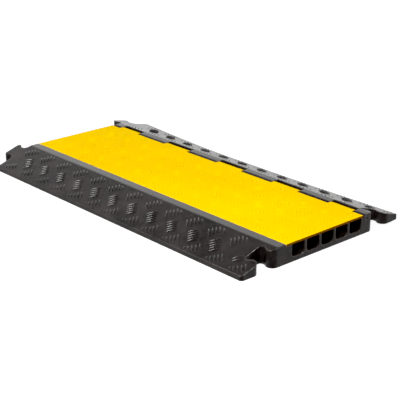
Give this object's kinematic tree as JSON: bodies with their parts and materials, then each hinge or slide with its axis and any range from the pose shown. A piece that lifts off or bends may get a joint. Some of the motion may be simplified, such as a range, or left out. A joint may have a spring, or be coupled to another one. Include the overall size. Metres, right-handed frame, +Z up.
{
  "type": "floor cord cover",
  "caption": "Low rubber ramp for the floor, with channels for cords under a hinged plastic lid, and tongues and sockets that link it end to end.",
  "frame": {"origin": "middle of the underside, measured over the connector tongues, on the floor", "axes": "+X along the cord channels towards the socket end, +Y across the ramps towards the hinge, +Z up"},
  "size_m": [0.938, 0.5, 0.045],
  "materials": {
    "black_rubber": "satin moulded rubber with raised tread bars",
    "yellow_plastic": "satin moulded plastic with low tread bars",
    "rod_steel": "plain steel rod"
  },
  "bodies": {
    "base": {"base": "black_rubber", "hinge_rod": "rod_steel"},
    "lid": {"lid": "yellow_plastic"}
  },
  "joints": [
    {"name": "lid_hinge", "type": "hinge", "parent": "base", "child": "lid", "pos_m": [0, 0.137, 0.0345], "axis": [-1, 0, 0], "range_deg": [0, 94]}
  ]
}
